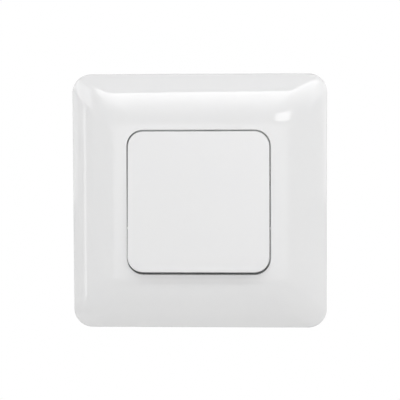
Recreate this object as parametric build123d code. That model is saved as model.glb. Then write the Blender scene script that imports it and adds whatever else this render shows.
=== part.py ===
from build123d import *
import math
import os

# Flush-mounted rocker light switch: cover frame, rocker and the insert that sits in the wall box.
# All lengths are millimetres. X runs to the right, Z up and Y into the wall.
# The wall surface is the plane y = 0, so what stands in front of the wall has a negative y.
# The rocker is modelled as it rests, with its top edge pressed in.

# Cover frame
FRAME_SIZE = 82.0
FRAME_CORNER = 6.1
FRAME_SIDE = 2.2
FRAME_DEPTH = 9.6
FRAME_WALL = 2.0
OPENING_GAP_X = 0.35
OPENING_GAP_Z = 0.55
RIM_LAND = 0.6
RIM_EDGE_RADIUS = 0.35
RIM_THICKNESS = 1.2
SWING_RELIEF = 0.4
COLLAR_WALL = 1.3
COLLAR_BACK = 3.6
FRAME_EDGE_RADIUS = 1.5
FRAME_INNER_RADIUS = 0.5
EDGE_SECTIONS = 3
SWELL_SECTIONS = 6
FRAME_LEG_WIDTH = 4.0
FRAME_LEG_THICKNESS = 1.2
FRAME_LEG_BACK = 1.6
NUB_HEIGHT = 0.2
NUB_SIZE = 0.8
NUB_Z = -8.2

# Rocker and its swing
ROCKER_SIZE = 44.8
ROCKER_CORNER = 4.8
ROCKER_WALL = 1.6
ROCKER_FACE = 1.8
ROCKER_HEIGHT = 6.2
ROCKER_SPREAD_X = 0.1
ROCKER_SPREAD_Z = 0.65
ROCKER_EDGE_RADIUS = 0.3
PIVOT_BELOW_RIM = 2.8
FACE_ABOVE_PIVOT = 4.5
TILT = 4.5
ROCKER_LEG_WIDTH = 4.0
ROCKER_LEG_THICKNESS = 1.2
ROCKER_LEG_X = 9.0
BARB = 0.8
BARB_HEIGHT = 0.9

# Drive piece under the rocker, and the plunger in its tail
CARRIER_INSET_X = 3.6
CARRIER_INSET_Z = 5.4
CARRIER_THICKNESS = 1.6
CARRIER_WEB = 1.6
CARRIER_WEB_LENGTH = 17.0
CARRIER_WEB_DEPTH = 0.6
CARRIER_RIB = 1.2
CARRIER_RIB_Z = 8.5
CARRIER_RIB_HEIGHT = 0.9
TRUNNION_RADIUS = 1.5
TRUNNION_HUB_RADIUS = 2.3
CHEEK_WALL = 2.4
CHEEK_FOOT = 10.0
CHEEK_GAP = 0.6
TAIL_WIDTH = 6.4
TAIL_REACH = 8.5
PLUNGER_RADIUS = 1.6
PLUNGER_HEAD = 5.2
PLUNGER_STEM_RADIUS = 1.2
PLUNGER_TIP_REACH = 13.5
SPRING_LENGTH = 4.0
SPRING_COIL_RADIUS = 1.2
SPRING_WIRE_RADIUS = 0.2
SPRING_TURNS = 5
BORE_TOP = 0.5

# Running clearances on a radius or a side
PIN_CLEARANCE = 0.05
SLIDE_CLEARANCE = 0.1
PART_CLEARANCE = 0.2

# How far a leg, rib or lug reaches into the wall that carries it, and a cut past a face
JOIN = 0.4
CUT = 1.0

# Steel support ring
RING_INSET = 5.5
RING_CORNER = 4.0
RING_THICKNESS = 1.2
RING_WINDOW_INSET_X = 2.1
RING_WINDOW_INSET_Z = 3.1
RING_WINDOW_CORNER = 1.0
BOX_SCREW_SPACING = 60.0
BOX_SCREW_SLOT_WIDTH = 4.0
BOX_SCREW_SLOT_LENGTH = 7.0
TAB_FROM_OPENING = 4.85
TAB_Z = 17.0
TAB_WIDTH = 5.0
TAB_HEIGHT = 3.6
TAB_WINDOW_WIDTH = 2.6
TAB_WINDOW_FROM = 1.2
TAB_WINDOW_TO = 2.6

# Housing behind the wall surface
HOUSING_WIDTH = 37.0
HOUSING_INSET = 0.9
HOUSING_CORNER = 2.0
HOUSING_WALL = 1.6
HOUSING_BACK_CHAMFER = 0.6
COVER_THICKNESS = 2.0
HOUSING_BACK = 24.0
FLOOR_THICKNESS = 2.0
CENTRE_HALF_WIDTH = 6.8
PARTITION_WALL = 1.2
SHELF_REACH = 3.0
SHELF_WIDTH = 3.0
TAIL_WINDOW_X = 8.0
TAIL_WINDOW_Z = 11.0
HOOK_LENGTH = 8.0
HOOK_OVERHANG = 1.2
HOOK_THICKNESS = 1.0
COLLAR_INSERT_WALL = 1.2
TONGUE_WIDTH = 6.0
TONGUE_THICKNESS = 1.2
TONGUE_REACH = 7.0
TONGUE_WINDOW_WIDTH = 3.4
TONGUE_WINDOW_HEIGHT = 1.8
TONGUE_END = 1.2

# Contact bridge and its saddle
BRIDGE_LENGTH = 22.4
BRIDGE_WIDTH = 6.0
BRIDGE_THICKNESS = 0.8
BRIDGE_TILT = 6.0
BRIDGE_CLEARANCE = 0.3
SADDLE_RADIUS = 0.5
SADDLE_POST_THICKNESS = 0.8
SADDLE_POST_GAP = 0.4
EAR_THICKNESS = 0.6
EAR_HALF_HEIGHT = 1.3
CONTACT_Z = 9.6
CONTACT_RADIUS = 1.5
CONTACT_HEIGHT = 0.8
CONTACT_DOME = 0.3
CONTACT_SHANK_RADIUS = 0.6
CONTACT_GAP = 0.08
FIXED_CONTACT_HEIGHT = 0.9
RIVET_HEAD_RADIUS = 1.1
RIVET_HEAD_HEIGHT = 0.3
STRIP_THICKNESS = 0.8
STRIP_WIDTH = 4.0
STRIP_INTO_CHAMBER = 2.5

# Screwless clamps in the side chambers
WIRE_HOLE_RADIUS = 1.5
WIRE_HOLE_FROM_LEG = 2.8
WIRE_PITCH = 8.5
CLAMP_END_GAP = 0.4
CLAMP_LEG_BACK = 20.5
CLAMP_LEG_THICKNESS = 0.8
CLAMP_SPRING_THICKNESS = 0.4
CLAMP_SPRING_INSET = 3.55
CLAMP_BEND_WIDTH = 2.2
CLAMP_BEND_INSET = 2.6
BLADE_TIP_GAP = 3.2
BACK_LEG_GAP = 1.2
LEVER_FROM_BEND = 0.6
LEVER_FROM_LEG = 1.9
LEVER_HEIGHT = 3.4
LEVER_FLANGE = 0.5
LEVER_FLANGE_LENGTH = 1.4
LEVER_PROUD = 1.0

# Spreading claws
CLAW_SCREW_FROM_HOUSING = 4.3
CLAW_SCREW_Z = 7.5
CLAW_SCREW_RADIUS = 1.5
CLAW_SCREW_END = 20.5
SCREW_HEAD_RADIUS = 2.6
SCREW_HEAD_HEIGHT = 1.8
SCREW_HEAD_EDGE = 0.6
CROSS_WIDTH = 0.9
CROSS_LENGTH = 3.2
CROSS_DEPTH = 1.0
NUT_SIZE = 7.0
NUT_THICKNESS = 3.0
CLAW_ANGLE = 35.0
CLAW_TRAVEL = 5.0
CLAW_THICKNESS = 1.5
CLAW_HALF_HEIGHT = 5.8
CLAW_REACH = 4.2
CLAW_TOOTH = 1.0
CLAW_TEETH = 5
CLAW_BACK = 14.2
CLAW_INNER_GAP = 0.7
RAMP_FRONT = 6.4
RAMP_LIP = 0.6
RAMP_RIB_Z = 4.6
RAMP_RIB_THICKNESS = 1.6
RAIL_FROM_SCREW = 1.2
RAIL_BACK = 20.0

# Places that follow from the sizes above
RIM_Y = -FRAME_DEPTH
PIVOT_Y = RIM_Y + PIVOT_BELOW_RIM
OPENING_X = ROCKER_SIZE + 2 * OPENING_GAP_X
OPENING_Z = ROCKER_SIZE + 2 * OPENING_GAP_Z
OPENING_CORNER = ROCKER_CORNER + OPENING_GAP_X
HOUSING_HEIGHT = ROCKER_SIZE - 2 * HOUSING_INSET
HOUSING_HALF_X = HOUSING_WIDTH / 2
HOUSING_HALF_Z = HOUSING_HEIGHT / 2
RING_SIZE = FRAME_SIZE - 2 * RING_INSET
RING_WINDOW_X = HOUSING_WIDTH - 2 * RING_WINDOW_INSET_X
RING_WINDOW_Z = HOUSING_HEIGHT - 2 * RING_WINDOW_INSET_Z
TAB_X = OPENING_X / 2 + TAB_FROM_OPENING
CARRIER_WIDTH = RING_WINDOW_X - 2 * CARRIER_INSET_X
CARRIER_LENGTH = ROCKER_SIZE - 2 * CARRIER_INSET_Z
FLOOR_FRONT = HOUSING_BACK - FLOOR_THICKNESS
TAIL_END_Y = PIVOT_Y + TAIL_REACH
CHEEK_INNER_X = CARRIER_WIDTH / 2 + CHEEK_GAP
CHEEK_OUTER_X = CHEEK_INNER_X + CHEEK_WALL
BRIDGE_FRONT = PIVOT_Y + PLUNGER_TIP_REACH + BRIDGE_CLEARANCE
BRIDGE_BACK = BRIDGE_FRONT + BRIDGE_THICKNESS
SADDLE_Y = BRIDGE_BACK + SADDLE_RADIUS + SLIDE_CLEARANCE
BRIDGE_ANGLE = math.radians(BRIDGE_TILT)
CONTACT_LEVER = BRIDGE_BACK + CONTACT_HEIGHT - SADDLE_Y
CONTACT_FACE = SADDLE_Y + CONTACT_LEVER * math.cos(BRIDGE_ANGLE) + CONTACT_Z * math.sin(BRIDGE_ANGLE)
DOME_TOP = CONTACT_FACE + CONTACT_GAP
STRIP_FRONT = DOME_TOP + FIXED_CONTACT_HEIGHT
STRIP_BACK = STRIP_FRONT + STRIP_THICKNESS
CHAMBER_WALL_X = HOUSING_HALF_X - HOUSING_WALL
PARTITION_X = CENTRE_HALF_WIDTH + PARTITION_WALL
CLAMP_LEG_X = CHAMBER_WALL_X - CLAMP_LEG_THICKNESS
CLAMP_Z = HOUSING_HEIGHT / 4
CLAMP_SPRING_HALF_HEIGHT = CLAMP_Z - CLAMP_SPRING_INSET
CLAMP_HALF_HEIGHT = CLAMP_SPRING_HALF_HEIGHT + CLAMP_END_GAP
WIRE_HOLE_X = CLAMP_LEG_X - WIRE_HOLE_FROM_LEG
HOLLOW_TOP = RIM_Y + FRAME_WALL
BLADE_ROOT_X = PARTITION_X + CLAMP_BEND_WIDTH
LEVER_X_FROM = BLADE_ROOT_X + LEVER_FROM_BEND
LEVER_X_TO = CLAMP_LEG_X - LEVER_FROM_LEG
CLAW_SCREW_X = HOUSING_HALF_X + CLAW_SCREW_FROM_HOUSING
CLAW_OUTER_X = CLAW_SCREW_X + CLAW_REACH
CLAW_INNER_X = HOUSING_HALF_X + CLAW_INNER_GAP
RAIL_X = CLAW_SCREW_X - RAIL_FROM_SCREW
LUG_BACK = TONGUE_REACH - TONGUE_END
ROCKER_AXIS = Axis((0, PIVOT_Y, 0), (1, 0, 0))
SADDLE_AXIS = Axis((0, SADDLE_Y, 0), (1, 0, 0))
Y_AXIS = Axis((0, 0, 0), (0, 1, 0))


# Shape helpers

def block(x, y, z):
    """Box between two coordinates on each axis."""
    centre = [(side[0] + side[1]) / 2 for side in (x, y, z)]
    size = [abs(side[1] - side[0]) for side in (x, y, z)]
    return Pos(*centre) * Box(*size)


def along_y(sketch, y_from, y_to):
    """Extrudes a sketch drawn in X and Z between two values of y."""
    back, front = max(y_from, y_to), min(y_from, y_to)
    return extrude(Plane.XZ.offset(-back) * sketch, back - front, dir=(0, -1, 0))


def along_x(sketch, x_from, x_to):
    """Extrudes a sketch drawn in Y and Z between two values of x."""
    return extrude(Plane.YZ.offset(min(x_from, x_to)) * sketch, abs(x_to - x_from), dir=(1, 0, 0))


def along_z(sketch, z_from, z_to):
    """Extrudes a sketch drawn in X and Y between two values of z."""
    return extrude(Plane.XY.offset(min(z_from, z_to)) * sketch, abs(z_to - z_from), dir=(0, 0, 1))


def rod_y(x, z, radius, y_from, y_to):
    return along_y(Pos(x, z) * Circle(radius), y_from, y_to)


def rod_x(y, z, radius, x_from, x_to):
    return along_x(Pos(y, z) * Circle(radius), x_from, x_to)


def outline(points):
    return Polygon(*points, align=None)


def edges_at(body, y):
    """The edges that lie in a plane across the Y axis."""
    return body.edges().filter_by_position(Axis.Y, y - 0.01, y + 0.01)


def pillow(start, end, y_start, y_end, edge_radius):
    """Rounded square that turns off its side with a small radius and swells in one large arc.

    start and end are (width, height, corner radius).
    """
    across, depth = (start[0] - end[0]) / 2, abs(y_end - y_start)
    slope = 2 * math.atan((depth - edge_radius) / (across - edge_radius))
    radius = (across - edge_radius) / math.sin(slope) + edge_radius
    edge_inward = edge_radius * (1 - math.sin(slope))
    edge_forward = edge_radius * math.cos(slope)

    def section(inward, forward):
        width, height, corner = [a + (b - a) * inward / across for a, b in zip(start, end)]
        return Plane.XZ.offset(forward - y_start) * RectangleRounded(width, height, corner)

    edge, swell = [], []
    for index in range(EDGE_SECTIONS + 1):
        angle = math.pi / 2 + (slope - math.pi / 2) * index / EDGE_SECTIONS
        edge.append(section(edge_radius * (1 - math.sin(angle)), edge_radius * math.cos(angle)))
    for index in range(SWELL_SECTIONS + 1):
        angle = slope * (1 - index / SWELL_SECTIONS)
        inward = edge_inward + radius * (math.sin(slope) - math.sin(angle))
        swell.append(section(inward, edge_forward + radius * (math.cos(angle) - math.cos(slope))))
    return loft(edge) + loft(swell)


def turned(shape):
    """The same piece on the other side: half a turn about the switch's middle axis."""
    return shape.rotate(Y_AXIS, 180)


# Cover frame

def opening(extra, y_from, y_to):
    size = (OPENING_X + 2 * extra, OPENING_Z + 2 * extra, OPENING_CORNER + extra)
    return along_y(RectangleRounded(*size), y_from, y_to)


def beside_opening(edge):
    """True for an edge of the opening itself, and not of the land around it."""
    centre = edge.center()
    return abs(centre.X) < (OPENING_X + RIM_LAND) / 2 and abs(centre.Z) < (OPENING_Z + RIM_LAND) / 2


def frame_leg():
    """Snap leg that hooks into the window of the support ring's upright tab."""
    outer = TAB_X + RING_THICKNESS
    z = (TAB_Z - FRAME_LEG_WIDTH / 2, TAB_Z + FRAME_LEG_WIDTH / 2)
    leg = block((outer, outer + FRAME_LEG_THICKNESS), (-FRAME_LEG_BACK, HOLLOW_TOP - JOIN), z)
    half = TAB_WINDOW_WIDTH / 2 - SLIDE_CLEARANCE
    window_back, window_front = -RING_THICKNESS - TAB_WINDOW_FROM, -RING_THICKNESS - TAB_WINDOW_TO
    barb_y = (window_back - SLIDE_CLEARANCE, window_front + SLIDE_CLEARANCE)
    barb = block((outer - BARB, outer), barb_y, (TAB_Z - half, TAB_Z + half))
    return leg + barb


def four_corners(shape):
    """A shape in the upper right corner, mirrored to all four."""
    right = [shape, mirror(shape, Plane.XY)]
    return right + [mirror(piece, Plane.YZ) for piece in right]


def cover_frame():
    outer = (FRAME_SIZE, FRAME_SIZE, FRAME_CORNER)
    rim = (OPENING_X + 2 * RIM_LAND, OPENING_Z + 2 * RIM_LAND, OPENING_CORNER + RIM_LAND)
    body = along_y(RectangleRounded(*outer), 0, -FRAME_SIDE)
    body += pillow(outer, rim, -FRAME_SIDE, RIM_Y, FRAME_EDGE_RADIUS)
    inner = (FRAME_SIZE - 2 * FRAME_WALL, FRAME_SIZE - 2 * FRAME_WALL, FRAME_CORNER - FRAME_WALL)
    ledge = FRAME_WALL + RIM_LAND
    inner_end = (OPENING_X + 2 * ledge, OPENING_Z + 2 * ledge, OPENING_CORNER + RIM_LAND)
    body -= along_y(RectangleRounded(*inner), 0, -FRAME_SIDE)
    body -= pillow(inner, inner_end, -FRAME_SIDE, HOLLOW_TOP, FRAME_INNER_RADIUS)
    body += opening(SWING_RELIEF + COLLAR_WALL, -COLLAR_BACK, HOLLOW_TOP - JOIN)
    for leg in four_corners(frame_leg()):
        body += leg
    body -= opening(0, 0, RIM_Y - CUT)
    body -= opening(SWING_RELIEF, 0, RIM_Y + RIM_THICKNESS)
    body = fillet([edge for edge in edges_at(body, RIM_Y) if beside_opening(edge)], RIM_EDGE_RADIUS)
    for side in (1, -1):
        wall = side * OPENING_X / 2
        y = (RIM_Y + RIM_THICKNESS, RIM_Y + RIM_EDGE_RADIUS)
        nub_z = (NUB_Z - NUB_SIZE / 2, NUB_Z + NUB_SIZE / 2)
        body += block((wall - side * NUB_HEIGHT, wall + side * NUB_HEIGHT), y, nub_z)
    return body


# Rocker with its drive piece, level about the pivot and then turned to the rest pose

def above_pivot(height):
    """The y of a place at a height in front of the pivot, with the rocker level."""
    return PIVOT_Y - height


def tapered(size, spread_x, spread_z, corner, height_from, height_to):
    """Block with rounded corners that widens from its front towards its back."""
    back_size = (size + spread_x, size + spread_z)
    front = Plane.XZ.offset(-above_pivot(height_from)) * RectangleRounded(size, size, corner)
    back = Plane.XZ.offset(-above_pivot(height_to)) * RectangleRounded(*back_size, corner)
    return loft([front, back], ruled=True)


def rocker_leg():
    """Snap leg that hooks behind the end of the drive piece."""
    z_inner = CARRIER_LENGTH / 2 + PIN_CLEARANCE
    x = (ROCKER_LEG_X - ROCKER_LEG_WIDTH / 2, ROCKER_LEG_X + ROCKER_LEG_WIDTH / 2)
    seat = FACE_ABOVE_PIVOT - ROCKER_FACE
    plate_back = seat - CARRIER_THICKNESS
    y = (above_pivot(plate_back - BARB_HEIGHT), above_pivot(seat + ROCKER_FACE / 2))
    leg = block(x, y, (z_inner, z_inner + ROCKER_LEG_THICKNESS))
    barb_y = (above_pivot(plate_back - BARB_HEIGHT), above_pivot(plate_back - PIN_CLEARANCE))
    return leg + block(x, barb_y, (z_inner - BARB, z_inner))


def rocker():
    back = FACE_ABOVE_PIVOT - ROCKER_HEIGHT
    body = tapered(ROCKER_SIZE, ROCKER_SPREAD_X, ROCKER_SPREAD_Z, ROCKER_CORNER, FACE_ABOVE_PIVOT, back)
    body = fillet(edges_at(body, above_pivot(FACE_ABOVE_PIVOT)), ROCKER_EDGE_RADIUS)
    inner_size = ROCKER_SIZE - 2 * ROCKER_WALL
    inner_corner = ROCKER_CORNER - ROCKER_WALL
    inner_front = FACE_ABOVE_PIVOT - ROCKER_FACE
    body -= tapered(inner_size, ROCKER_SPREAD_X, ROCKER_SPREAD_Z, inner_corner, inner_front, back)
    for leg in four_corners(rocker_leg()):
        body += leg
    return body.rotate(ROCKER_AXIS, -TILT)


def rocker_carrier():
    """Drive piece: plate under the rocker's face, trunnions on both sides and a bored tail."""
    half_x, half_z = CARRIER_WIDTH / 2, CARRIER_LENGTH / 2
    front = FACE_ABOVE_PIVOT - ROCKER_FACE
    back = front - CARRIER_THICKNESS
    body = block((-half_x, half_x), (above_pivot(back), above_pivot(front)), (-half_z, half_z))
    web_y = (above_pivot(-CARRIER_WEB_DEPTH), above_pivot(back))
    web_z = (-CARRIER_WEB_LENGTH / 2, CARRIER_WEB_LENGTH / 2)
    for side in (1, -1):
        web_x = (side * half_x, side * (half_x - CARRIER_WEB))
        body += block(web_x, web_y, web_z)
        body += rod_x(PIVOT_Y, 0, TRUNNION_HUB_RADIUS, *web_x)
        body += rod_x(PIVOT_Y, 0, TRUNNION_RADIUS, side * half_x, side * CHEEK_OUTER_X)
    half_tail = TAIL_WIDTH / 2
    body += block((-half_tail, half_tail), (TAIL_END_Y, above_pivot(back)), (-half_tail, half_tail))
    rib_y = (above_pivot(back - CARRIER_RIB_HEIGHT), above_pivot(back))
    for z in (-CARRIER_RIB_Z, CARRIER_RIB_Z):
        body += block((-half_x, half_x), rib_y, (z - CARRIER_RIB / 2, z + CARRIER_RIB / 2))
    body -= rod_y(0, 0, PLUNGER_RADIUS + PIN_CLEARANCE, TAIL_END_Y, above_pivot(-BORE_TOP))
    return body.rotate(ROCKER_AXIS, -TILT)


def toggle_plunger():
    """Sprung plunger with a round nose that throws the contact bridge."""
    top = PIVOT_Y + BORE_TOP + SPRING_LENGTH
    nose_centre = PIVOT_Y + PLUNGER_TIP_REACH - PLUNGER_STEM_RADIUS
    body = rod_y(0, 0, PLUNGER_RADIUS, top, top + PLUNGER_HEAD)
    body += rod_y(0, 0, PLUNGER_STEM_RADIUS, top, nose_centre)
    body += Pos(0, nose_centre, 0) * Sphere(PLUNGER_STEM_RADIUS)
    return body.rotate(ROCKER_AXIS, -TILT)


def toggle_spring():
    """Compression spring between the bore's end and the plunger's head."""
    length = SPRING_LENGTH - 2 * SPRING_WIRE_RADIUS
    path = Helix(pitch=length / SPRING_TURNS, height=length, radius=SPRING_COIL_RADIUS)
    start = Plane(origin=path @ 0, z_dir=path % 0)
    coil = sweep(start * Circle(SPRING_WIRE_RADIUS), path=path, is_frenet=True)
    coil = coil.rotate(Axis.X, -90)
    coil = Pos(0, PIVOT_Y + BORE_TOP + SPRING_WIRE_RADIUS, 0) * coil
    return coil.rotate(ROCKER_AXIS, -TILT)


# Support ring

def ring_tab():
    """Upright tab with the window for the cover frame's snap leg."""
    y = (-RING_THICKNESS, -RING_THICKNESS - TAB_HEIGHT)
    tab = block((TAB_X, TAB_X + RING_THICKNESS), y, (TAB_Z - TAB_WIDTH / 2, TAB_Z + TAB_WIDTH / 2))
    window_y = (-RING_THICKNESS - TAB_WINDOW_FROM, -RING_THICKNESS - TAB_WINDOW_TO)
    window_z = (TAB_Z - TAB_WINDOW_WIDTH / 2, TAB_Z + TAB_WINDOW_WIDTH / 2)
    return tab - block((TAB_X - CUT, TAB_X + RING_THICKNESS + CUT), window_y, window_z)


def support_ring():
    body = along_y(RectangleRounded(RING_SIZE, RING_SIZE, RING_CORNER), 0, -RING_THICKNESS)
    through = (CUT, -RING_THICKNESS - CUT)
    body -= along_y(RectangleRounded(RING_WINDOW_X, RING_WINDOW_Z, RING_WINDOW_CORNER), *through)
    slot = SlotOverall(BOX_SCREW_SLOT_LENGTH, BOX_SCREW_SLOT_WIDTH)
    upright_slot = Rot(0, 0, 90) * slot
    for side in (1, -1):
        body -= along_y(Pos(side * BOX_SCREW_SPACING / 2, 0) * slot, *through)
        body -= along_y(Pos(0, side * BOX_SCREW_SPACING / 2) * upright_slot, *through)
        body -= rod_y(side * CLAW_SCREW_X, side * CLAW_SCREW_Z, CLAW_SCREW_RADIUS + PIN_CLEARANCE, *through)
    for tab in four_corners(ring_tab()):
        body += tab
    return body


# Housing cover: closes the mechanism, hooks into the ring's window and bears the trunnions

def bearing_cheek(side):
    boss_radius = FACE_ABOVE_PIVOT - ROCKER_FACE - PART_CLEARANCE
    foot = CHEEK_FOOT / 2
    x = (side * CHEEK_INNER_X, side * CHEEK_OUTER_X)
    cheek = along_x(outline([(0, -foot), (PIVOT_Y, -boss_radius), (PIVOT_Y, boss_radius), (0, foot)]), *x)
    return cheek + rod_x(PIVOT_Y, 0, boss_radius, *x)


def cover_tongue():
    """Snap tongue over the outside of the housing, with the window for the housing's lug."""
    z = (HOUSING_HALF_Z + PIN_CLEARANCE, HOUSING_HALF_Z + PIN_CLEARANCE + TONGUE_THICKNESS)
    half = TONGUE_WIDTH / 2
    tongue = block((-half, half), (0, TONGUE_REACH), z)
    tongue += block((-half, half), (0, COVER_THICKNESS), (HOUSING_HALF_Z - JOIN, z[1]))
    window = TONGUE_WINDOW_WIDTH / 2
    window_y = (LUG_BACK - TONGUE_WINDOW_HEIGHT, LUG_BACK)
    return tongue - block((-window, window), window_y, (z[0] - CUT, z[1] + CUT))


def housing_cover():
    body = along_y(RectangleRounded(HOUSING_WIDTH, HOUSING_HEIGHT, HOUSING_CORNER), 0, COVER_THICKNESS)
    outer_x = RING_WINDOW_X - 2 * SLIDE_CLEARANCE
    outer_z = RING_WINDOW_Z - 2 * SLIDE_CLEARANCE
    hook_back = -RING_THICKNESS - PIN_CLEARANCE
    hook_front = hook_back - HOOK_THICKNESS
    collar = RectangleRounded(outer_x, outer_z, RING_WINDOW_CORNER - SLIDE_CLEARANCE)
    collar -= Rectangle(outer_x - 2 * COLLAR_INSERT_WALL, outer_z - 2 * COLLAR_INSERT_WALL)
    body += along_y(collar, 0, hook_front)
    for side in (1, -1):
        hook_z = (side * (outer_z / 2 - COLLAR_INSERT_WALL), side * (outer_z / 2 + HOOK_OVERHANG))
        body += block((-HOOK_LENGTH / 2, HOOK_LENGTH / 2), (hook_back, hook_front), hook_z)
        body += bearing_cheek(side)
    tongue = cover_tongue()
    body += tongue
    body += mirror(tongue, Plane.XY)
    body -= along_y(Rectangle(TAIL_WINDOW_X, TAIL_WINDOW_Z), -CUT, COVER_THICKNESS + CUT)
    body -= rod_x(PIVOT_Y, 0, TRUNNION_RADIUS + PIN_CLEARANCE, -CHEEK_OUTER_X - CUT, CHEEK_OUTER_X + CUT)
    return body


# Housing base with its chambers, wire holes, lever slots and claw ramps

def ramp_x(y, clearance=0.0):
    """X of the claw's ramp at a depth behind the wall."""
    offset = clearance / math.cos(math.radians(CLAW_ANGLE))
    return CLAW_INNER_X + offset + (CLAW_BACK - y) * math.tan(math.radians(CLAW_ANGLE))


def claw_ramp(z):
    """Rib on the housing's side: the claw's ramp in front and the nut's guide rail behind."""
    inner = HOUSING_HALF_X - HOUSING_WALL / 2
    points = [
        (inner, RAMP_FRONT - RAMP_LIP),
        (ramp_x(RAMP_FRONT), RAMP_FRONT - RAMP_LIP),
        (ramp_x(RAMP_FRONT), RAMP_FRONT),
        (CLAW_INNER_X, CLAW_BACK),
        (CLAW_INNER_X, CLAW_BACK + PIN_CLEARANCE),
        (RAIL_X, CLAW_BACK + PIN_CLEARANCE),
        (RAIL_X, RAIL_BACK),
        (inner, RAIL_BACK),
    ]
    return along_z(outline(points), z - RAMP_RIB_THICKNESS / 2, z + RAMP_RIB_THICKNESS / 2)


def wire_places(clamp_z):
    return [clamp_z - WIRE_PITCH / 2, clamp_z + WIRE_PITCH / 2]


CLAMPS = {"common": (-1, 0.0), "upper": (1, CLAMP_Z), "lower": (1, -CLAMP_Z)}


def housing_base():
    outer = RectangleRounded(HOUSING_WIDTH, HOUSING_HEIGHT, HOUSING_CORNER)
    inner_z = HOUSING_HALF_Z - HOUSING_WALL
    body = along_y(outer, COVER_THICKNESS, HOUSING_BACK)
    body = chamfer(edges_at(body, HOUSING_BACK), HOUSING_BACK_CHAMFER)
    chamber_y = (COVER_THICKNESS - CUT, FLOOR_FRONT)
    body -= block((-CENTRE_HALF_WIDTH, CENTRE_HALF_WIDTH), chamber_y, (-inner_z, inner_z))
    for side in (1, -1):
        body -= block((side * PARTITION_X, side * CHAMBER_WALL_X), chamber_y, (-inner_z, inner_z))
    rib = PARTITION_WALL / 2
    body += block((PARTITION_X, CHAMBER_WALL_X), (COVER_THICKNESS, FLOOR_FRONT), (-rib, rib))
    for side in (1, -1):
        z = side * (CLAMP_HALF_HEIGHT + PARTITION_WALL)
        body += block((-PARTITION_X, -CHAMBER_WALL_X), (COVER_THICKNESS, FLOOR_FRONT), (z - rib, z + rib))
    slot_half = STRIP_WIDTH / 2 + SLIDE_CLEARANCE
    slot_y = (COVER_THICKNESS - CUT, STRIP_BACK)
    for side, z in ((-1, 0.0), (1, CONTACT_Z), (1, -CONTACT_Z)):
        slot_x = (side * CENTRE_HALF_WIDTH, side * PARTITION_X)
        body -= block(slot_x, slot_y, (z - slot_half, z + slot_half))
        shelf_x = (side * (CENTRE_HALF_WIDTH - SHELF_REACH), side * PARTITION_X)
        body += block(shelf_x, (STRIP_BACK, FLOOR_FRONT), (z - SHELF_WIDTH / 2, z + SHELF_WIDTH / 2))
    through = (FLOOR_FRONT - CUT, HOUSING_BACK + CUT)
    for side, clamp_z in CLAMPS.values():
        for z in wire_places(clamp_z):
            body -= rod_y(side * WIRE_HOLE_X, z, WIRE_HOLE_RADIUS, *through)
        x = (side * (LEVER_X_FROM - SLIDE_CLEARANCE), side * (LEVER_X_TO + SLIDE_CLEARANCE))
        half = LEVER_HEIGHT / 2 + SLIDE_CLEARANCE
        body -= block(x, through, (clamp_z - half, clamp_z + half))
    for z in (CLAW_SCREW_Z - RAMP_RIB_Z, CLAW_SCREW_Z + RAMP_RIB_Z):
        rib_piece = claw_ramp(z)
        body += rib_piece
        body += turned(rib_piece)
    lug_half = TONGUE_WINDOW_WIDTH / 2 - PIN_CLEARANCE
    lug_y = (LUG_BACK - TONGUE_WINDOW_HEIGHT + PIN_CLEARANCE, LUG_BACK - PIN_CLEARANCE)
    for side in (1, -1):
        lug_z = (side * (HOUSING_HALF_Z - JOIN), side * (HOUSING_HALF_Z + TONGUE_THICKNESS))
        body += block((-lug_half, lug_half), lug_y, lug_z)
    return body


# Contact bridge and contacts

def contact_bridge():
    """Rocking copper strip with two bored ears on the saddle's bar."""
    half = BRIDGE_LENGTH / 2
    body = block((-BRIDGE_WIDTH / 2, BRIDGE_WIDTH / 2), (BRIDGE_FRONT, BRIDGE_BACK), (-half, half))
    for side in (1, -1):
        ear_x = (side * BRIDGE_WIDTH / 2, side * (BRIDGE_WIDTH / 2 + EAR_THICKNESS))
        body += block(ear_x, (BRIDGE_FRONT, SADDLE_Y), (-EAR_HALF_HEIGHT, EAR_HALF_HEIGHT))
        body += rod_x(SADDLE_Y, 0, EAR_HALF_HEIGHT, *ear_x)
        body -= rod_x(SADDLE_Y, 0, SADDLE_RADIUS + PIN_CLEARANCE, *ear_x)
        body -= rod_y(0, side * CONTACT_Z, CONTACT_SHANK_RADIUS, BRIDGE_FRONT - CUT, SADDLE_Y)
    return body.rotate(SADDLE_AXIS, BRIDGE_TILT)


def moving_contact(side):
    """Silver rivet through one end of the bridge."""
    z = side * CONTACT_Z
    head_front = BRIDGE_FRONT - RIVET_HEAD_HEIGHT
    body = rod_y(0, z, CONTACT_RADIUS, BRIDGE_BACK, BRIDGE_BACK + CONTACT_HEIGHT)
    body += rod_y(0, z, CONTACT_SHANK_RADIUS, head_front, BRIDGE_BACK)
    body += rod_y(0, z, RIVET_HEAD_RADIUS, head_front, BRIDGE_FRONT)
    return body.rotate(SADDLE_AXIS, BRIDGE_TILT)


def fixed_contact(side):
    """Domed silver rivet on a fixed terminal strip."""
    z = side * CONTACT_Z
    sphere_radius = (CONTACT_RADIUS ** 2 + CONTACT_DOME ** 2) / (2 * CONTACT_DOME)
    head = rod_y(0, z, CONTACT_RADIUS, DOME_TOP, STRIP_FRONT)
    head &= Pos(0, DOME_TOP + sphere_radius, z) * Sphere(sphere_radius)
    return head + rod_y(0, z, CONTACT_SHANK_RADIUS, STRIP_FRONT, STRIP_BACK + RIVET_HEAD_HEIGHT)


# Terminals

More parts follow.
